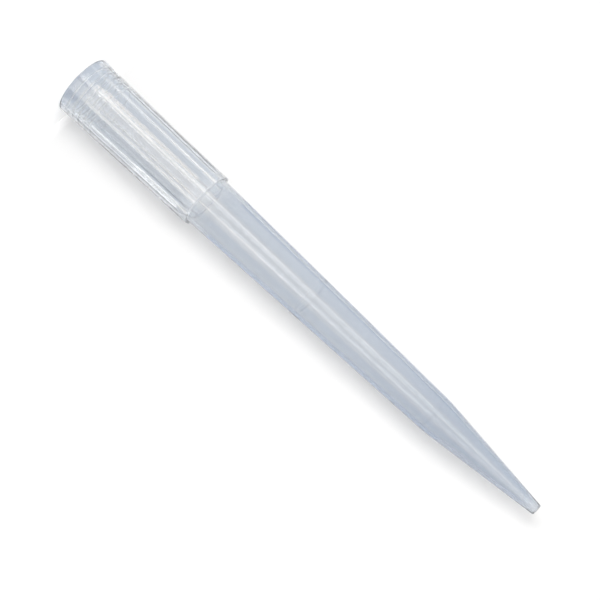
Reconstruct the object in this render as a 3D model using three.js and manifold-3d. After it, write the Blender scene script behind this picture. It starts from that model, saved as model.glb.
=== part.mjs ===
// Extended-length pipette tip for a 1000 microlitre pipette, injection moulded in polypropylene.
// One piece: a ribbed collar that the pipette's nozzle plugs into, a slender body with two
// volume rings, and a steeper nozzle that ends in the orifice.
// Millimetres, +Z up. The tip stands on the rim of its collar, with the origin in the centre of
// that rim and the orifice at the top.

import * as THREE from 'three';
import { mergeVertices } from 'three/addons/utils/BufferGeometryUtils.js';
import Module from 'manifold-3d';

// Lengths along the axis
const overallLength = 84;
const collarLength = 23.6;
const nozzleLength = 17.7;          // the steep part that ends in the orifice
const nozzleBlendLength = 1.6;      // the soft turn from the body to the nozzle

// Outside diameters
const rimDiameter = 8.74;
const collarEndDiameter = 8.06;     // between the ribs, at the shoulder
const bodyTopDiameter = 7.34;       // just past the shoulder
const nozzleTopDiameter = 5.28;
const orificeOuterDiameter = 1.54;

// Wall thicknesses
const collarWall = 0.52;
const bodyWall = 0.55;
const nozzleTopWall = 0.52;
const orificeWall = 0.36;

// Edges of the rim, the shoulder and the orifice
const rimRound = 0.12;
const shoulderRound = 0.08;
const orificeRound = 0.1;

// The socket that takes the pipette's nozzle
const leadInDepth = 0.5;            // the chamfer that guides the nozzle in
const leadInWidth = 0.14;
const socketSeatLength = 0.9;       // the cone that closes the socket down to the bore
const sealRingCount = 5;
const firstSealRingDepth = 1.2;
const sealRingPitch = 1.05;
const sealRingWidth = 0.42;
const sealRingCrest = 0.14;         // the flat on top of each ring
const sealRingHeight = 0.09;

// Ribs along the collar, nearly flush at the rim and proud at the shoulder
const ribCount = 12;
const ribWidth = 0.5;
const ribStart = 0.7;
const ribStartHeight = 0.02;
const ribEndHeight = 0.17;
const ribRoot = 0.2;                // how far a rib is rooted in the wall

// Volume rings on the body, by their distance from the orifice
const markDistances = [18.7, 41.2];
const markWidth = 0.34;
const markCrest = 0.17;
const markHeight = 0.05;

// Facets
const turnSegments = 72;
const roundSteps = 3;
const blendSteps = 4;
const closestStations = 0.01;

// Heights and radii that follow from the sizes above
const nozzleStart = overallLength - nozzleLength;
const rimRadius = rimDiameter / 2;
const collarEndRadius = collarEndDiameter / 2;
const bodyTopRadius = bodyTopDiameter / 2;
const nozzleTopRadius = nozzleTopDiameter / 2;
const orificeOuterRadius = orificeOuterDiameter / 2;
const bodySlope = (nozzleTopRadius - bodyTopRadius) / (nozzleStart - collarLength);
const nozzleSlope = (orificeOuterRadius - nozzleTopRadius) / nozzleLength;

const { clamp, lerp } = THREE.MathUtils;

/** How far a bead stands out at a height: straight flanks and a flat crest. */
function beadRise(height, centre, width, crest, rise) {
  const flank = (width - crest) / 2;
  const share = (width / 2 - Math.abs(height - centre)) / flank;
  return rise * clamp(share, 0, 1);
}

/** The four heights at which a bead's outline turns. */
function beadStations(centre, width, crest) {
  return [-width, -crest, crest, width].map((span) => centre + span / 2);
}

/** Heights in rising order between two ends, without any that fall on each other. */
function sortedStations(stations, from, to) {
  const inside = stations.filter((height) => height > from && height < to);
  const rising = [from, ...inside, to].sort((low, high) => low - high);
  return rising.filter((height, index) => (
    index === 0 || height - rising[index - 1] > closestStations
  ));
}

/** Radius of the collar's outside between its ribs. */
function collarRadius(height) {
  return lerp(rimRadius, collarEndRadius, height / collarLength);
}

/** Radius of the wall above the shoulder: two cones joined by a parabola tangent to both. */
function wallRadius(height) {
  const past = height - nozzleStart;
  const half = nozzleBlendLength / 2;
  const entered = clamp(past + half, 0, nozzleBlendLength);
  const turn = (entered * entered) / (2 * nozzleBlendLength);
  const beyond = Math.max(past - half, 0);
  return nozzleTopRadius + bodySlope * past + (nozzleSlope - bodySlope) * (turn + beyond);
}

/** Thickness of the wall above the shoulder. */
function wallThickness(height) {
  if (height < nozzleStart) {
    return lerp(bodyWall, nozzleTopWall, (height - collarLength) / (nozzleStart - collarLength));
  }
  return lerp(nozzleTopWall, orificeWall, (height - nozzleStart) / nozzleLength);
}

const markHeights = markDistances.map((distance) => overallLength - distance);

/** Radius of the outside above the shoulder, with the volume rings standing on it. */
function bodyRadius(height) {
  const rises = markHeights
    .map((centre) => beadRise(height, centre, markWidth, markCrest, markHeight));
  return wallRadius(height) + Math.max(...rises);
}

const sealRingHeights = Array.from(
  { length: sealRingCount }, (_, ring) => firstSealRingDepth + ring * sealRingPitch);

/** Radius of the socket, with its lead-in and its seal rings. */
function socketRadius(height) {
  const flare = leadInWidth * Math.max(1 - height / leadInDepth, 0);
  const rises = sealRingHeights
    .map((centre) => beadRise(height, centre, sealRingWidth, sealRingCrest, sealRingHeight));
  return collarRadius(height) - collarWall + flare - Math.max(0, ...rises);
}

/** Heights at which the parabola between body and nozzle is cut into straight steps. */
function blendStations() {
  const steps = Array.from({ length: blendSteps + 1 }, (_, step) => step / blendSteps);
  return steps.map((share) => nozzleStart + (share - 0.5) * nozzleBlendLength);
}

/** Points on a round edge of a turned shape, between two angles. */
function roundEdge(centreRadius, centreHeight, radius, fromAngle, toAngle) {
  const steps = Array.from({ length: roundSteps + 1 }, (_, step) => step / roundSteps);
  return steps.map((share) => {
    const angle = lerp(fromAngle, toAngle, share);
    const outward = centreRadius + radius * Math.cos(angle);
    return new THREE.Vector2(outward, centreHeight + radius * Math.sin(angle));
  });
}

/** The outside, from the foot of the rim up to the face of the orifice. */
function outsideProfile() {
  const rim = roundEdge(
    collarRadius(rimRound) - rimRound, rimRound, rimRound, -Math.PI / 2, 0);
  const shoulder = roundEdge(
    collarEndRadius - shoulderRound, collarLength - shoulderRound, shoulderRound, 0, Math.PI / 2);
  const orificeFoot = overallLength - orificeRound;
  const orifice = roundEdge(
    orificeOuterRadius - orificeRound, orificeFoot, orificeRound, 0, Math.PI / 2);
  const marks = markHeights.flatMap((height) => beadStations(height, markWidth, markCrest));
  const wall = sortedStations([...marks, ...blendStations()], collarLength, orificeFoot)
    .slice(0, -1)
    .map((height) => new THREE.Vector2(bodyRadius(height), height));
  return [...rim, ...shoulder, ...wall, ...orifice];
}

/** The inside, from the orifice down through the bore and the socket to the mouth. */
function insideProfile() {
  const seatFoot = collarLength - socketSeatLength;
  const rings = sealRingHeights
    .flatMap((height) => beadStations(height, sealRingWidth, sealRingCrest));
  const bore = sortedStations(blendStations(), collarLength, overallLength)
    .map((height) => new THREE.Vector2(wallRadius(height) - wallThickness(height), height));
  const socket = sortedStations([leadInDepth, ...rings], 0, seatFoot)
    .map((height) => new THREE.Vector2(socketRadius(height), height));
  return [...socket, ...bore].reverse();
}

/** Turns a closed profile about the Z axis. */
function turned(profile) {
  const geometry = new THREE.LatheGeometry([...profile, profile[0].clone()], turnSegments);
  return geometry.rotateX(Math.PI / 2);
}

/** One rib, cut to the taper of the collar and ending flush with the shoulder. */
function collarRib(angle) {
  const side = new THREE.Shape([
    new THREE.Vector2(collarRadius(ribStart) - ribRoot, ribStart),
    new THREE.Vector2(collarRadius(ribStart) + ribStartHeight, ribStart),
    new THREE.Vector2(collarEndRadius + ribEndHeight, collarLength),
    new THREE.Vector2(collarEndRadius - ribRoot, collarLength),
  ]);
  const geometry = new THREE.ExtrudeGeometry(side, { depth: ribWidth, bevelEnabled: false });
  return geometry.translate(0, 0, -ribWidth / 2).rotateX(Math.PI / 2).rotateZ(angle);
}

const manifoldLibrary = await Module();
manifoldLibrary.setup();

/** A closed three.js geometry as a solid that can be joined to others. */
function toSolid(geometry) {
  const bare = geometry.clone();
  bare.deleteAttribute('normal');
  bare.deleteAttribute('uv');
  const merged = mergeVertices(bare, 1e-5);
  return new manifoldLibrary.Manifold(new manifoldLibrary.Mesh({
    numProp: 3,
    vertProperties: new Float32Array(merged.attributes.position.array),
    triVerts: new Uint32Array(merged.index.array),
  }));
}

/** A solid as a three.js geometry. */
function toGeometry(solid) {
  const mesh = solid.getMesh();
  const geometry = new THREE.BufferGeometry();
  geometry.setAttribute('position', new THREE.BufferAttribute(mesh.vertProperties, 3));
  geometry.setIndex(new THREE.BufferAttribute(mesh.triVerts, 1));
  geometry.computeVertexNormals();
  return geometry;
}

/** The whole tip: one turned shell with the ribs joined to its collar. */
function pipetteTip() {
  let solid = toSolid(turned([...outsideProfile(), ...insideProfile()]));
  for (let rib = 0; rib < ribCount; rib += 1) {
    const angle = (rib / ribCount) * 2 * Math.PI;
    solid = solid.add(toSolid(collarRib(angle)));
  }
  return toGeometry(solid);
}

const translucentPolypropylene = new THREE.MeshStandardMaterial({
  color: 0xdfe5ec,
  roughness: 0.32,
  metalness: 0,
});

const tip = new THREE.Mesh(pipetteTip(), translucentPolypropylene);
tip.name = 'pipette_tip';

const part = new THREE.Group();
part.add(tip);

export default part;
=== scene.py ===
# A moulded polypropylene pipette tip for a 1000 microlitre pipette. Metres, in the CAD frame:
# the tip stands on the rim of its collar at z = 0 and its orifice points up.

import math

import bpy
import numpy as np
from mathutils import Matrix, Vector


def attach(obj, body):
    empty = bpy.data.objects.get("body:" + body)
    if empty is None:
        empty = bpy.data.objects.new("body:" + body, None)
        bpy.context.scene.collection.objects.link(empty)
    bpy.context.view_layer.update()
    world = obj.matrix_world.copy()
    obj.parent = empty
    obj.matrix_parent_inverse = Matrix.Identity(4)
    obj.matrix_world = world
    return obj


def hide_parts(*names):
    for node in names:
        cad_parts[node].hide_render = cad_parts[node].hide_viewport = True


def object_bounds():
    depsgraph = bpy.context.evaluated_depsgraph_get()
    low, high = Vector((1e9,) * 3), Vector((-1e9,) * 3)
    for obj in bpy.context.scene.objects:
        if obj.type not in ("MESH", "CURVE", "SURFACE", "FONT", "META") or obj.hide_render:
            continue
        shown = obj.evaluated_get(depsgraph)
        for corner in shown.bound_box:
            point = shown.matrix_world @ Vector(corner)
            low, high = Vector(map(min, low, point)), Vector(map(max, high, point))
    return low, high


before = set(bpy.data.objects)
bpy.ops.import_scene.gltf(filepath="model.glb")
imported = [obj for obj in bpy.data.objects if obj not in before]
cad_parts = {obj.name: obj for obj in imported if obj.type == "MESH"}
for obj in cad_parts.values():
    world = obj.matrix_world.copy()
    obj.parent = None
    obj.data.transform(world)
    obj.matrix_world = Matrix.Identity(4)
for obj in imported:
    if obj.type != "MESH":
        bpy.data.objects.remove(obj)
cad_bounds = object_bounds()

# ---- The camera ------------------------------------------------------------------------------
# A long lens held a little above the middle of the tip, on the orifice's side, and rolled so
# that the tip lies across the view with its orifice at the lower right.

camera_azimuth = math.radians(11)
camera_tilt = math.radians(11.5)
camera_roll = math.radians(43.16)
camera_distance = 0.4407
camera_lens = 200.0
camera_sensor = 36
nearest_seen = 0.01
farthest_seen = 20
aim_height = 0.0421
aim_aside = 0.00113


def camera_axes(azimuth, tilt, roll):
    """Three unit vectors: the view's right, its up, and the way back to the camera. Before the
    roll, right runs up the tip's axis and up runs to the camera's left of it."""
    back = Vector((
        math.sin(azimuth) * math.cos(tilt), -math.cos(azimuth) * math.cos(tilt), math.sin(tilt)))
    aside = Vector((math.cos(azimuth), math.sin(azimuth), 0))
    along = aside.cross(back)
    if along.z < 0:
        along.negate()
    right = along * math.cos(roll) - aside * math.sin(roll)
    down = along * math.sin(roll) + aside * math.cos(roll)
    return right, -down, back


view_right, view_up, to_camera = camera_axes(camera_azimuth, camera_tilt, camera_roll)
aim_point = Vector((0, 0, aim_height))
aim_point += Vector((math.cos(camera_azimuth), math.sin(camera_azimuth), 0)) * aim_aside

camera_data = bpy.data.cameras.new("camera")
camera_data.lens = camera_lens
camera_data.sensor_width = camera_sensor
camera_data.clip_start = nearest_seen
camera_data.clip_end = farthest_seen
camera = bpy.data.objects.new("camera", camera_data)
camera_turned = Matrix((view_right, view_up, to_camera)).transposed().to_4x4()
camera.matrix_world = Matrix.Translation(aim_point + to_camera * camera_distance) @ camera_turned

scene = bpy.context.scene
scene.collection.objects.link(camera)
scene.camera = camera
scene.view_settings.view_transform = "Standard"


# ---- The floor and the backdrop --------------------------------------------------------------
# A white floor under the rim, and a sheet of white paper that stands close behind the tip and
# takes its soft shadow. The sheet is seen from its front alone, so it never hides the tip.

floor_reach = 3.0
floor_white = (0.94, 0.94, 0.94, 1)
floor_glow = 0.38
sheet_reach = 0.6
sheet_gap = 0.00515
sheet_turn = math.radians(14.5)
sheet_lean = math.radians(0.7)
sheet_white = (0.64, 0.64, 0.64, 1)
sheet_glow = 0.31
# Painted light: the sheet glows more at its foot, so that the tip's shadow fades out towards the
# floor.
painted_foot_light = 0.2
painted_foot_light_height = 0.0015
pure_white = (1, 1, 1, 1)
even_share = 0.7


def met_in_plastic(tree, rays):
    """1 for a ray that comes off the gloss or through the plastic, 0 for any other."""
    met = tree.nodes.new("ShaderNodeMath")
    met.operation = "MAXIMUM"
    tree.links.new(rays.outputs["Is Glossy Ray"], met.inputs[0])
    tree.links.new(rays.outputs["Is Transmission Ray"], met.inputs[1])
    return met.outputs[0]


def product(tree, first, second):
    """One value times another, each a socket or a number."""
    times = tree.nodes.new("ShaderNodeMath")
    times.operation = "MULTIPLY"
    for value, socket in zip((first, second), times.inputs):
        if isinstance(value, (int, float)):
            socket.default_value = value
        else:
            tree.links.new(value, socket)
    return times.outputs[0]


def blended(tree, share, first, second):
    """The first surface where the share is 0, the second where it is 1, a mix between."""
    mix = tree.nodes.new("ShaderNodeMixShader")
    for socket, source in zip(mix.inputs, (share, first, second)):
        tree.links.new(source, socket)
    return mix.outputs[0]


def height_glow(tree, base, extra):
    """A glow of base plus extra at the foot, which falls smoothly to base a little way up. The
    extra is painted light that fades the shadow out towards the floor.
    """
    place = tree.nodes.new("ShaderNodeTexCoord")
    split = tree.nodes.new("ShaderNodeSeparateXYZ")
    tree.links.new(place.outputs["Object"], split.inputs[0])
    fading = tree.nodes.new("ShaderNodeMapRange")
    fading.interpolation_type = "SMOOTHSTEP"
    fading.inputs["From Max"].default_value = painted_foot_light_height
    fading.inputs["To Min"].default_value = base + extra
    fading.inputs["To Max"].default_value = base
    tree.links.new(split.outputs["Z"], fading.inputs["Value"])
    return fading.outputs["Result"]


def paper_material(name, white, base_glow, extra_glow, one_sided):
    """White paper that takes shadows. For the camera it adds a share of glow, and in gloss and
    through the plastic it is mixed with an even white."""
    material = bpy.data.materials.new(name)
    material.use_nodes = True
    tree = material.node_tree
    tree.nodes.clear()
    output = tree.nodes.new("ShaderNodeOutputMaterial")
    rays = tree.nodes.new("ShaderNodeLightPath")
    paper = tree.nodes.new("ShaderNodeBsdfDiffuse")
    paper.inputs["Color"].default_value = white
    level = product(tree, rays.outputs["Is Camera Ray"], height_glow(tree, base_glow, extra_glow))
    glow = tree.nodes.new("ShaderNodeEmission")
    tree.links.new(level, glow.inputs["Strength"])
    lit = tree.nodes.new("ShaderNodeAddShader")
    tree.links.new(paper.outputs[0], lit.inputs[0])
    tree.links.new(glow.outputs[0], lit.inputs[1])
    even = tree.nodes.new("ShaderNodeEmission")
    even.inputs["Color"].default_value = pure_white
    share = product(tree, met_in_plastic(tree, rays), even_share)
    surface = blended(tree, share, lit.outputs[0], even.outputs[0])
    if one_sided:
        facing = tree.nodes.new("ShaderNodeNewGeometry")
        clear = tree.nodes.new("ShaderNodeBsdfTransparent")
        surface = blended(tree, facing.outputs["Backfacing"], surface, clear.outputs[0])
    tree.links.new(surface, output.inputs["Surface"])
    return material


def paper_sheet(name, centre, across, along, reach, material):
    """A square sheet with its face to across x along, reach to each side of its centre."""
    corners = [centre + across * (reach * i) + along * (reach * j)
               for i, j in ((-1, -1), (1, -1), (1, 1), (-1, 1))]
    mesh = bpy.data.meshes.new(name)
    mesh.from_pydata(corners, [], [(0, 1, 2, 3)])
    mesh.materials.append(material)
    sheet = bpy.data.objects.new(name, mesh)
    scene.collection.objects.link(sheet)
    return sheet


floor_paper = paper_material("white_floor", floor_white, floor_glow, 0, False)
floor = paper_sheet(
    "floor", Vector((0, 0, 0)), Vector((1, 0, 0)), Vector((0, 1, 0)), floor_reach, floor_paper)
floor.visible_glossy = False
floor.visible_transmission = False
floor.visible_shadow = False

sheet_azimuth = camera_azimuth - sheet_turn
sheet_across = Vector((math.cos(sheet_azimuth), math.sin(sheet_azimuth), 0))
sheet_out = Vector((sheet_across.y, -sheet_across.x, 0))
sheet_foot = -sheet_out * sheet_gap
sheet_rise = Vector((0, 0, math.cos(sheet_lean))) + sheet_out * math.sin(sheet_lean)
sheet_paper = paper_material("white_backdrop", sheet_white, sheet_glow, painted_foot_light, True)
paper_sheet("backdrop", sheet_foot, sheet_across, sheet_rise, sheet_reach, sheet_paper)


# ---- The room --------------------------------------------------------------------------------
# A pale room with even light on all sides. The camera sees it pure white, the gloss sees it
# blue, and it is a fainter blue where it shows through the plastic.

room_level = 0.78
gloss_blue = (0.66, 0.79, 0.95, 1)
through_blue = (0.85, 0.9, 0.95, 1)

world = bpy.data.worlds.new("room")
world.use_nodes = True
room_tree = world.node_tree
room_tree.nodes.clear()
world_output = room_tree.nodes.new("ShaderNodeOutputWorld")
room_rays = room_tree.nodes.new("ShaderNodeLightPath")
room_tone = room_tree.nodes.new("ShaderNodeMix")
room_tone.data_type = "RGBA"
room_tone.inputs[6].default_value = gloss_blue
room_tone.inputs[7].default_value = through_blue
room_tree.links.new(room_rays.outputs["Is Transmission Ray"], room_tone.inputs["Factor"])


def room_light(colour, level):
    """The room's light at one level, in a fixed colour or in the one that a node gives."""
    node = room_tree.nodes.new("ShaderNodeBackground")
    node.inputs["Strength"].default_value = level
    if isinstance(colour, tuple):
        node.inputs["Color"].default_value = colour
    else:
        room_tree.links.new(colour, node.inputs["Color"])
    return node.outputs[0]


on_paper = room_light(pure_white, room_level)
in_plastic = room_light(room_tone.outputs[2], 1)
in_view = room_light(pure_white, 1)
unseen = blended(room_tree, met_in_plastic(room_tree, room_rays), on_paper, in_plastic)
room = blended(room_tree, room_rays.outputs["Is Camera Ray"], unseen, in_view)
room_tree.links.new(room, world_output.inputs["Surface"])
scene.world = world


# ---- The soft box ----------------------------------------------------------------------------
# One large rectangular lamp behind white cloth, on the camera's side and a little to the left
# of it. It lights the paper and throws the tip's shadow on it.

box_azimuth = -19
box_distance = 0.2
box_middle = 0.022
box_width = 0.11
box_height = 0.18
box_watts = 0.28
lamp_white = (1, 0.98, 0.96)


def toward(degrees, distance, height):
    """A place at an azimuth from the camera's side of the tip, at a distance and a height."""
    azimuth = camera_azimuth + math.radians(degrees)
    return Vector((math.sin(azimuth) * distance, -math.cos(azimuth) * distance, height))


lamp = bpy.data.lights.new("key_box", "AREA")
lamp.shape = "RECTANGLE"
lamp.size = box_width
lamp.size_y = box_height
lamp.energy = box_watts
lamp.color = lamp_white
box = bpy.data.objects.new("key_box", lamp)
box_place = toward(box_azimuth, box_distance, box_middle)
box_turned = (box_place - Vector((0, 0, box_middle))).to_track_quat("Z", "Y").to_matrix().to_4x4()
box.matrix_world = Matrix.Translation(box_place) @ box_turned
box.visible_camera = False
# The gloss doesn't see the lamp; the glowing reflector cards paint its highlights instead.
box.visible_glossy = False
scene.collection.objects.link(box)


# ---- The cards on the backdrop ---------------------------------------------------------------
# Small glowing cards laid flat on the backdrop, beside the tip and below its mouth, where they
# reach under the floor's level. They show only in gloss and through the plastic, and they are
# painted light and shade. Grey ones are painted shade that darkens its clear edges and its open
# mouth. Bright ones light the sides of its collar and give the painted highlight of the bright line
# along its collar.

taped_gap = 0.0001
edge_bottom = 0.026
edge_top = 0.068
# Painted shade: grey glow that the body's clear edges show, greyer on the left and paler on the
# right.
edge_shade_grey = (0.6, 0.67, 0.78)
edge_shade_pale = (0.7, 0.77, 0.87)
collar_top = 0.0225
# Painted light: a glow brighter than white that the collar's sides show.
collar_painted_light = (1.25, 1.22, 1.17)
glint_aside = 0.0115
glint_join = 0.011
collar_glint_white = (3.4, 3.35, 3.3)
shoulder_glint_white = (5.4, 5.3, 5.2)
mouth_bottom = -0.006
mouth_top = -0.0001
# Painted shade: grey glow that shows through the open mouth, with a darker line and a grey patch in
# it.
mouth_shade_pale = (0.62, 0.66, 0.72)
mouth_shade_grey = (0.5, 0.54, 0.61)
mouth_shade_dark = (0.42, 0.46, 0.54)
card_glow = 1
half_a_bounce = 0.5


def card_material(name, colour, glow, reflected_only):
    """An even glow. Where it is to be reflected only, the card is clear to every ray that has
    not come off gloss before."""
    material = bpy.data.materials.new(name)
    material.use_nodes = True
    tree = material.node_tree
    tree.nodes.clear()
    output = tree.nodes.new("ShaderNodeOutputMaterial")
    shine = tree.nodes.new("ShaderNodeEmission")
    shine.inputs["Color"].default_value = (*colour, 1)
    shine.inputs["Strength"].default_value = glow
    surface = shine.outputs[0]
    if reflected_only:
        rays = tree.nodes.new("ShaderNodeLightPath")
        clear = tree.nodes.new("ShaderNodeBsdfTransparent")
        reflected = tree.nodes.new("ShaderNodeMath")
        reflected.operation = "GREATER_THAN"
        reflected.inputs[1].default_value = half_a_bounce
        tree.links.new(rays.outputs["Glossy Depth"], reflected.inputs[0])
        surface = blended(tree, reflected.outputs[0], clear.outputs[0], surface)
    tree.links.new(surface, output.inputs["Surface"])
    return material


def glowing_card(name, foot, across, rise, width, bottom, top, material):
    """A card that stands over its foot and shows only in gloss and through the plastic."""
    side = across * (width / 2)
    corners = [foot - side + rise * bottom, foot + side + rise * bottom,
               foot + side + rise * top, foot - side + rise * top]
    mesh = bpy.data.meshes.new(name)
    mesh.from_pydata(corners, [], [(0, 1, 2, 3)])
    mesh.materials.append(material)
    card = bpy.data.objects.new(name, mesh)
    card.visible_camera = False
    card.visible_diffuse = False
    card.visible_shadow = False
    scene.collection.objects.link(card)


for card_name, aside, width, bottom, top, colour in (
        ("edge_left", -0.0069, 0.0024, edge_bottom, edge_top, edge_shade_grey),
        ("edge_right", 0.0053, 0.0024, edge_bottom, edge_top, edge_shade_pale),
        ("collar_left", -0.0071, 0.0014, 0, collar_top, collar_painted_light),
        ("collar_right", 0.0056, 0.0014, 0, collar_top, collar_painted_light),
        ("collar_glint", glint_aside, 0.0016, -0.003, glint_join, collar_glint_white),
        ("shoulder_glint", glint_aside, 0.003, glint_join, 0.0195, shoulder_glint_white),
        ("mouth_left", -0.00377, 0.00368, mouth_bottom, mouth_top, mouth_shade_pale),
        ("mouth_line", -0.00168, 0.0005, mouth_bottom, mouth_top, mouth_shade_dark),
        ("mouth_middle", -0.00054, 0.00178, mouth_bottom, mouth_top, mouth_shade_pale),
        ("mouth_patch", 0.00105, 0.0014, mouth_bottom, mouth_top, mouth_shade_grey),
        ("mouth_right", 0.00238, 0.00126, mouth_bottom, mouth_top, mouth_shade_pale)):
    foot = sheet_foot + sheet_out * taped_gap + sheet_across * aside
    material = card_material(card_name, colour, card_glow, False)
    glowing_card(card_name, foot, sheet_across, sheet_rise, width, bottom, top, material)


# ---- The reflector cards ---------------------------------------------------------------------
# Upright glowing cards on the camera's side that face the tip. They light no matt surface and cast
# no shadow, so they are painted light. The polished plastic shows the warm white ones as painted
# highlight bands, and the nearly black one as painted shade in the collar's gloss. The wide card is
# farthest off, then come the two for the collar and the narrow strips. Some reach below the floor,
# because gloss doesn't see the floor.

highlight_card_white = (1, 0.89, 0.75)
wide_distance = 0.2
collar_distance = 0.196
strip_distance = 0.194

for card_name, degrees, distance, width, bottom, top, glow, reflected_only in (
        ("card_wide", 3.5, wide_distance, 0.4, -0.06, 0.12, 1.35, False),
        ("card_collar", -27, collar_distance, 0.138, -0.049, -0.021, 4.2, False),
        ("flag_collar", 51, collar_distance, 0.11, -0.06, -0.021, 0.05, True),
        ("strip_left", -24, strip_distance, 0.011, -0.022, 0.008, 5.2, False),
        ("strip_right", 21, strip_distance, 0.011, -0.025, 0.008, 5.6, False),
        ("strip_left_high", -24, strip_distance, 0.011, 0.008, 0.05, 3.6, False),
        ("strip_right_high", 20, strip_distance, 0.011, 0.008, 0.05, 3.4, False),
        ("strip_middle", -5, strip_distance, 0.009, 0.018, 0.05, 3.0, False),
        ("strip_far", 38, strip_distance, 0.009, 0.018, 0.05, 3.2, False),
        ("strip_nozzle", -8, strip_distance, 0.02, 0.06, 0.12, 3.5, False),
        ("strip_nozzle_far", 33, strip_distance, 0.014, 0.06, 0.12, 3.0, False)):
    foot = toward(degrees, distance, 0)
    across = Vector((foot.y, -foot.x, 0)).normalized()
    material = card_material(card_name, highlight_card_white, glow, reflected_only)
    glowing_card(card_name, foot, across, Vector((0, 0, 1)), width, bottom, top, material)


# ---- The tip ----------------------------------------------------------------------------------
# One injection moulding in clear natural polypropylene: a polished ribbed collar, a body with a
# fine satin outside and two raised volume rings, and a steep nozzle that ends in the orifice.

# Heights, outside radii and walls.
tip_length = cad_bounds[1].z
shoulder_height = 0.0236
nozzle_start = tip_length - 0.0177
blend_length = 0.0016
rim_radius = 0.00437
collar_end_radius = 0.00403
body_top_radius = 0.00367
nozzle_top_radius = 0.00264
orifice_radius = 0.00077
collar_wall = 0.00052
body_wall = 0.00055
nozzle_top_wall = 0.00052
orifice_wall = 0.00036

# The rounding of its edges.
rim_round = 0.00012
shoulder_round = 0.00008
shoulder_fillet = 0.00006
orifice_round = 0.00014
bore_edge_round = 0.00004

# The ribs, which rise out of the collar just above the rim and are proud at the shoulder.
rib_count = 12
rib_half_width = 0.00016
rib_flank = 0.0003
rib_start = 0.0007
rib_run_in = 0.0003
rib_start_height = 0.000014
rib_end_height = 0.00012

# The volume rings on the body.
mark_heights = (tip_length - 0.0187, tip_length - 0.0412)
mark_width = 0.00034
mark_height = 0.000024

# The socket: a lead-in, seal rings, and a short cone down to the bore.
lead_in_depth = 0.0005
lead_in_width = 0.00014
lead_in_bend = 1.5
seat_length = 0.0016
seal_ring_count = 5
first_seal_ring = 0.0012
seal_ring_pitch = 0.00105
seal_ring_width = 0.0005
seal_ring_height = 0.000028

# How closely the surface is divided: the number of points along each stretch of the outline,
# and where they lie between one rib's flank and the middle of the gap.
outer_edge_points = 7
run_in_points = 5
collar_points = 12
face_points = 6
wall_points = 24
blend_points = 9
mark_points = 9
inner_edge_points = 4
seat_points = 9
socket_points = 16
seal_ring_points = 11
lead_in_points = 7
flank_points = 9
shares_of_gap = np.array([0.02, 0.05, 0.1, 0.3, 0.65])


def smooth(x):
    """0 below 0, 1 above 1, and between them three times the square less twice the cube."""
    t = np.clip(x, 0, 1)
    return t * t * (3 - 2 * t)


def collar_radius(z):
    """A straight taper from the rim to the shoulder."""
    return rim_radius + (collar_end_radius - rim_radius) * z / shoulder_height


def body_radius(z):
    """Two cones joined by a parabola that is tangent to both of them."""
    body_slope = (nozzle_top_radius - body_top_radius) / (nozzle_start - shoulder_height)
    nozzle_slope = (orifice_radius - nozzle_top_radius) / (tip_length - nozzle_start)
    past = z - nozzle_start
    entered = np.clip(past + blend_length / 2, 0, blend_length)
    turn = entered ** 2 / (2 * blend_length) + np.maximum(past - blend_length / 2, 0)
    return nozzle_top_radius + body_slope * past + (nozzle_slope - body_slope) * turn


def bore_radius(z):
    """The body's outside less a wall that thins towards the orifice."""
    wall = np.interp(z, [shoulder_height, nozzle_start, tip_length],
                     [body_wall, nozzle_top_wall, orifice_wall])
    return body_radius(z) - wall


def bead(z, centre, width, height):
    """A rounded ridge: its height times the square of a cosine that is 0 at both its sides."""
    x = np.clip((z - centre) / width, -0.5, 0.5)
    return height * np.cos(math.pi * x) ** 2


def heights_across(centre, width, count):
    """Evenly spaced heights across a ridge or a blend."""
    return centre + width * np.linspace(-0.5, 0.5, count)


def outside():
    """Rows of (radius, height, rib's height) from the rim's face to the orifice's. Each edge is
    a quarter of a circle, and a rib's height grows evenly from the rim to the shoulder."""
    arc = np.linspace(0, math.pi / 2, outer_edge_points)
    rim = np.stack([
        collar_radius(rim_round) - rim_round * (1 - np.sin(arc)),
        rim_round * (1 - np.cos(arc)),
        np.zeros_like(arc)], 1)
    below_ribs = 0.0004
    above_run_in = 0.0016
    z = np.concatenate([
        [below_ribs, rib_start],
        rib_start + rib_run_in * np.linspace(1 / run_in_points, 1, run_in_points),
        np.linspace(above_run_in, shoulder_height - shoulder_round, collar_points)])
    rise = rib_start_height + (rib_end_height - rib_start_height) * z / shoulder_height
    collar = np.stack([collar_radius(z), z, rise * smooth((z - rib_start) / rib_run_in)], 1)
    arc = arc[1:]
    edge = np.stack([
        collar_end_radius - shoulder_round * (1 - np.cos(arc)),
        shoulder_height - shoulder_round * (1 - np.sin(arc)),
        np.full_like(arc, rib_end_height)], 1)
    inward = np.linspace(0, 1, face_points)[1:]
    foot = body_top_radius + shoulder_fillet
    face = np.stack([
        collar_end_radius - shoulder_round + (foot - collar_end_radius + shoulder_round) * inward,
        np.full_like(inward, shoulder_height),
        rib_end_height * (1 - inward)], 1)
    fillet = np.stack([
        foot - shoulder_fillet * np.sin(arc),
        shoulder_height + shoulder_fillet * (1 - np.cos(arc)),
        np.zeros_like(arc)], 1)
    z = np.unique(np.concatenate([
        np.linspace(shoulder_height + 2 * shoulder_fillet, tip_length - orifice_round, wall_points),
        heights_across(nozzle_start, blend_length, blend_points),
        *[heights_across(mark, mark_width, mark_points) for mark in mark_heights]]))
    rise = sum(bead(z, mark, mark_width, mark_height) for mark in mark_heights)
    wall = np.stack([body_radius(z) + rise, z, np.zeros_like(z)], 1)
    end = np.stack([
        orifice_radius - orifice_round * (1 - np.cos(arc)),
        tip_length - orifice_round * (1 - np.sin(arc)),
        np.zeros_like(arc)], 1)
    return np.concatenate([rim, collar, edge, face, fillet, wall, end])


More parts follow.
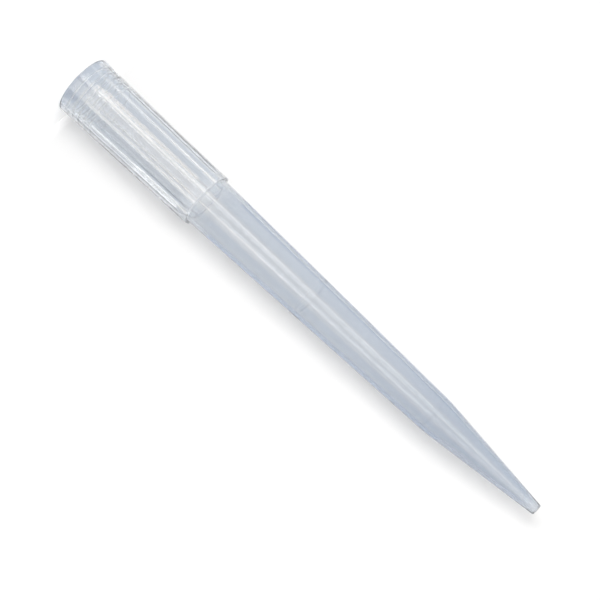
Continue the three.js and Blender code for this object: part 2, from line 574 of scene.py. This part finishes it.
def inside():
    """Rows of (radius, height, seal ring's rise) from the orifice's face down to the rim's. The
    seat runs smoothly from the bore's radius to the socket's, and the lead-in flares by a power
    of the share of its depth."""
    arc = np.linspace(0, math.pi / 2, inner_edge_points)
    edge = np.stack([
        orifice_radius - orifice_wall + bore_edge_round * (1 - np.sin(arc)),
        tip_length - bore_edge_round * (1 - np.cos(arc))], 1)
    above_seat = 0.0002
    below_edge = 0.001
    z = np.unique(np.concatenate([
        np.linspace(shoulder_height + above_seat, tip_length - below_edge, wall_points),
        heights_across(nozzle_start, blend_length, blend_points)]))[::-1]
    bore = np.stack([bore_radius(z), z], 1)
    seat_foot = shoulder_height - seat_length
    share = np.linspace(0, 1, seat_points)
    bore_start = bore_radius(shoulder_height)
    socket_end = collar_radius(seat_foot) - collar_wall
    seat = np.stack([
        bore_start + (socket_end - bore_start) * smooth(share),
        shoulder_height - seat_length * share], 1)
    rings = first_seal_ring + seal_ring_pitch * np.arange(seal_ring_count)
    below_seat = 0.0005
    z = np.unique(np.concatenate([
        np.linspace(lead_in_depth, seat_foot - below_seat, socket_points),
        *[heights_across(ring, seal_ring_width, seal_ring_points) for ring in rings]]))[::-1]
    rise = sum(bead(z, ring, seal_ring_width, seal_ring_height) for ring in rings)
    socket = np.stack([collar_radius(z) - collar_wall - rise, z, rise], 1)
    z = lead_in_depth * np.linspace(1, 0, lead_in_points)[1:]
    flare = lead_in_width * (1 - z / lead_in_depth) ** lead_in_bend
    mouth = np.stack([collar_radius(z) - collar_wall + flare, z], 1)
    edge, bore, seat, mouth = (
        np.pad(rows, ((0, 0), (0, 1))) for rows in (edge, bore, seat, mouth))
    return np.concatenate([edge, bore, seat, socket, mouth])


def rib_angles():
    """Angles round the collar, close together where a rib's flanks turn."""
    half_pitch = math.pi / rib_count
    flank = rib_half_width + rib_flank * np.linspace(-0.5, 0.5, flank_points)
    arc = np.concatenate([[0], flank]) / collar_end_radius
    rest = arc[-1] + (half_pitch - arc[-1]) * shares_of_gap
    half = np.concatenate([arc, rest])
    one = np.concatenate([-half[:0:-1], half, [half_pitch]])
    pitches = 2 * half_pitch * np.arange(rib_count)
    return (pitches[:, None] + one[None, :]).ravel()


def off_rib(angle):
    """How far an angle is from the middle of the nearest rib, measured round the collar."""
    pitch = 2 * math.pi / rib_count
    return np.abs((angle + pitch / 2) % pitch - pitch / 2) * collar_end_radius


def rib_rise(angle):
    """1 on the crest of a rib, 0 between ribs, with a smooth flank."""
    return smooth((rib_half_width + rib_flank / 2 - off_rib(angle)) / rib_flank)


def closed_grid(name, points):
    """A mesh of four-sided faces on a grid of points that closes on itself both ways."""
    rows, columns = points.shape[:2]
    i = np.arange(rows)[:, None]
    j = np.arange(columns)[None, :]
    up, on = (i + 1) % rows, (j + 1) % columns
    quads = np.stack(
        [i * columns + j, i * columns + on, up * columns + on, up * columns + j], -1)
    quads = quads.reshape(-1, 4)
    mesh = bpy.data.meshes.new(name)
    mesh.vertices.add(rows * columns)
    mesh.vertices.foreach_set("co", points.reshape(-1).astype(np.float32))
    mesh.loops.add(quads.size)
    mesh.loops.foreach_set("vertex_index", quads.reshape(-1).astype(np.int32))
    mesh.polygons.add(len(quads))
    mesh.polygons.foreach_set("loop_start", np.arange(0, quads.size, 4, dtype=np.int32))
    mesh.polygons.foreach_set("use_smooth", np.ones(len(quads), dtype=bool))
    mesh.update()
    mesh.validate()
    return mesh


# The closed outline turned about the axis, with a rib's height added where a rib stands.
outer_rows = outside()
profile = np.concatenate([outer_rows, inside()])
outer = np.arange(len(profile)) < len(outer_rows)
height = profile[:, 1]
rib_height = np.where(outer, profile[:, 2], 0)
ring_share = np.where(outer, 0, profile[:, 2] / seal_ring_height)
angle = rib_angles()
radius = profile[:, 0, None] + rib_height[:, None] * rib_rise(angle)[None, :]
tip_points = np.stack([
    radius * np.cos(angle)[None, :],
    radius * np.sin(angle)[None, :],
    np.broadcast_to(height[:, None], radius.shape)], -1)
tip_mesh = closed_grid("moulded_tip", tip_points)

# Where the outside is satin, and which rows lie in the socket.
shoulder_fade = 0.0003


def above(start, fade):
    """For each row, 0 up to a height and 1 from a fade above it, with a smooth turn at each."""
    return smooth((height - start) / fade)


past_shoulder = above(shoulder_height, shoulder_fade)
satin = np.where(outer, past_shoulder, 0)
in_socket = np.where(outer, 0, 1 - past_shoulder)

# How strongly each part of the surface is tinted. The shares add up: the collar is nearly clear
# outside and tinted in its socket, the body and the nozzle are tinted outside, and less tint is
# left at the orifice, in the bore, on the seal rings and behind the ribs. Near the mouth both faces
# are darkened further, and that is painted shade.
mouth_height = 0.0003
mouth_fade = 0.0008
nozzle_fade_start = nozzle_start - 0.012
nozzle_fade = 0.02
orifice_fade_start = tip_length - 0.0012
orifice_fade = 0.001
collar_tint = 0.08
# Painted shade: the collar's outside is darkened near its mouth.
collar_mouth_shade = 0.15
body_tint = 0.51
body_end_tint = 0.15
nozzle_tint = 0.17
orifice_tint = -0.5
socket_tint = 0.56
# Painted shade: the socket is darkened near the mouth.
socket_mouth_shade = 0.1
bore_tint = -0.46
seal_ring_tint = -0.2
behind_rib_tint = -0.4
rib_tint_reach = 0.0003
rib_tint_turn = 0.00014


def beside_rib(angle):
    """1 across a rib and its flanks, 0 a little way out from them."""
    return smooth((rib_tint_reach - off_rib(angle)) / rib_tint_turn)


near_mouth = 1 - above(mouth_height, mouth_fade)
near_nozzle = above(nozzle_fade_start, nozzle_fade)
along_body = above(shoulder_height, nozzle_start - shoulder_height)
at_orifice = above(orifice_fade_start, orifice_fade)
past_shoulder_tint = (
    body_tint + body_end_tint * along_body + nozzle_tint * near_nozzle + orifice_tint * at_orifice)
deep = np.where(
    outer,
    collar_tint + collar_mouth_shade * near_mouth + past_shoulder * past_shoulder_tint,
    socket_tint + socket_mouth_shade * near_mouth + bore_tint * past_shoulder
    + seal_ring_tint * ring_share)
deep = deep[:, None] + behind_rib_tint * in_socket[:, None] * beside_rib(angle)[None, :]

# How milky it is where the moulding is thick: in the ribs, the rings and the edges.
rib_milk = 0.5
rib_milk_start = 0.0018
rib_milk_fade = 0.001
mark_milk = 0.5
shoulder_milk = 0.7
shoulder_milk_width = 0.0005
orifice_milk = 0.3
seal_ring_milk = 0.8
ribs_grown = above(rib_milk_start, rib_milk_fade) * (rib_height > 0)
edge_milk = (
    sum(bead(height, mark, mark_width, mark_milk) for mark in mark_heights)
    + bead(height, shoulder_height, shoulder_milk_width, shoulder_milk)
    + orifice_milk * at_orifice)
thick = np.where(outer, edge_milk, seal_ring_milk * ring_share)[:, None]
thick = np.clip(thick + rib_milk * ribs_grown[:, None] * beside_rib(angle)[None, :], 0, 1)

for share_name, values in (
        ("deep", deep),
        ("satin", np.broadcast_to(satin[:, None], thick.shape)),
        ("socket", np.broadcast_to(in_socket[:, None], thick.shape)),
        ("thick", thick)):
    attribute = tip_mesh.attributes.new(share_name, "FLOAT", "POINT")
    attribute.data.foreach_set("value", values.astype(np.float32).ravel())

tip = bpy.data.objects.new("moulded_tip", tip_mesh)
scene.collection.objects.link(tip)

# Polypropylene that takes a polish from the mould on its collar and a fine satin on its body.
# Streaks from the flow of the melt run along the axis, and a fine grain lies over the satin.
plastic_index = 1.49
deep_tint = (0.575, 0.63, 0.715, 1)
polished_clear = 0.92
satin_clear = 0.88
thick_clear = 0.6
polished_rough = 0.01
satin_rough = 0.05
socket_rough = 0.08
flow_rough = 0.03
flow_scale = 2600
flow_stretch = 0.012
flow_detail = 3
flow_depth = 0.0000012
polished_flow = 0.3
grain_scale = 11000
grain_depth = 0.0000006
inner_colour = (0.5, 0.65, 0.8, 1)
inner_density = 180

plastic = bpy.data.materials.new("natural_polypropylene")
plastic.use_nodes = True
nodes = plastic.node_tree.nodes
links = plastic.node_tree.links
shader = nodes["Principled BSDF"]
shader.inputs["IOR"].default_value = plastic_index


def read(share_name):
    """The value of one of the mesh's attributes."""
    node = nodes.new("ShaderNodeAttribute")
    node.attribute_name = share_name
    return node.outputs["Fac"]


def graded(value, low, high):
    """A value from 0 to 1 brought into another range."""
    node = nodes.new("ShaderNodeMapRange")
    node.inputs["To Min"].default_value = low
    node.inputs["To Max"].default_value = high
    links.new(value, node.inputs["Value"])
    return node.outputs["Result"]


tint = nodes.new("ShaderNodeMix")
tint.data_type = "RGBA"
tint.inputs[6].default_value = pure_white
tint.inputs[7].default_value = deep_tint
links.new(read("deep"), tint.inputs["Factor"])
links.new(tint.outputs[2], shader.inputs["Base Color"])
clear = product(plastic.node_tree, graded(read("satin"), polished_clear, satin_clear),
                graded(read("thick"), 1, thick_clear))
links.new(clear, shader.inputs["Transmission Weight"])

place = nodes.new("ShaderNodeTexCoord")
drawn = nodes.new("ShaderNodeMapping")
drawn.inputs["Scale"].default_value = (1, 1, flow_stretch)
links.new(place.outputs["Object"], drawn.inputs["Vector"])
flow = nodes.new("ShaderNodeTexNoise")
flow.inputs["Scale"].default_value = flow_scale
flow.inputs["Detail"].default_value = flow_detail
links.new(drawn.outputs["Vector"], flow.inputs["Vector"])
grain = nodes.new("ShaderNodeTexNoise")
grain.inputs["Scale"].default_value = grain_scale
links.new(place.outputs["Object"], grain.inputs["Vector"])

rougher = nodes.new("ShaderNodeMath")
rougher.operation = "MAXIMUM"
links.new(graded(read("socket"), polished_rough, socket_rough), rougher.inputs[0])
links.new(graded(read("satin"), polished_rough, satin_rough), rougher.inputs[1])
gloss = nodes.new("ShaderNodeMath")
gloss.operation = "MULTIPLY_ADD"
gloss.inputs[1].default_value = flow_rough
links.new(flow.outputs["Fac"], gloss.inputs[0])
links.new(rougher.outputs[0], gloss.inputs[2])
links.new(gloss.outputs[0], shader.inputs["Roughness"])

lines = nodes.new("ShaderNodeBump")
lines.inputs["Distance"].default_value = flow_depth
links.new(graded(read("satin"), polished_flow, 1), lines.inputs["Strength"])
links.new(flow.outputs["Fac"], lines.inputs["Height"])
spark = nodes.new("ShaderNodeBump")
spark.inputs["Distance"].default_value = grain_depth
links.new(read("satin"), spark.inputs["Strength"])
links.new(grain.outputs["Fac"], spark.inputs["Height"])
links.new(lines.outputs["Normal"], spark.inputs["Normal"])
links.new(spark.outputs["Normal"], shader.inputs["Normal"])

depth = nodes.new("ShaderNodeVolumeAbsorption")
depth.inputs["Color"].default_value = inner_colour
depth.inputs["Density"].default_value = inner_density
links.new(depth.outputs["Volume"], nodes["Material Output"].inputs["Volume"])
tip_mesh.materials.append(plastic)

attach(tip, "root")
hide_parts("pipette_tip")
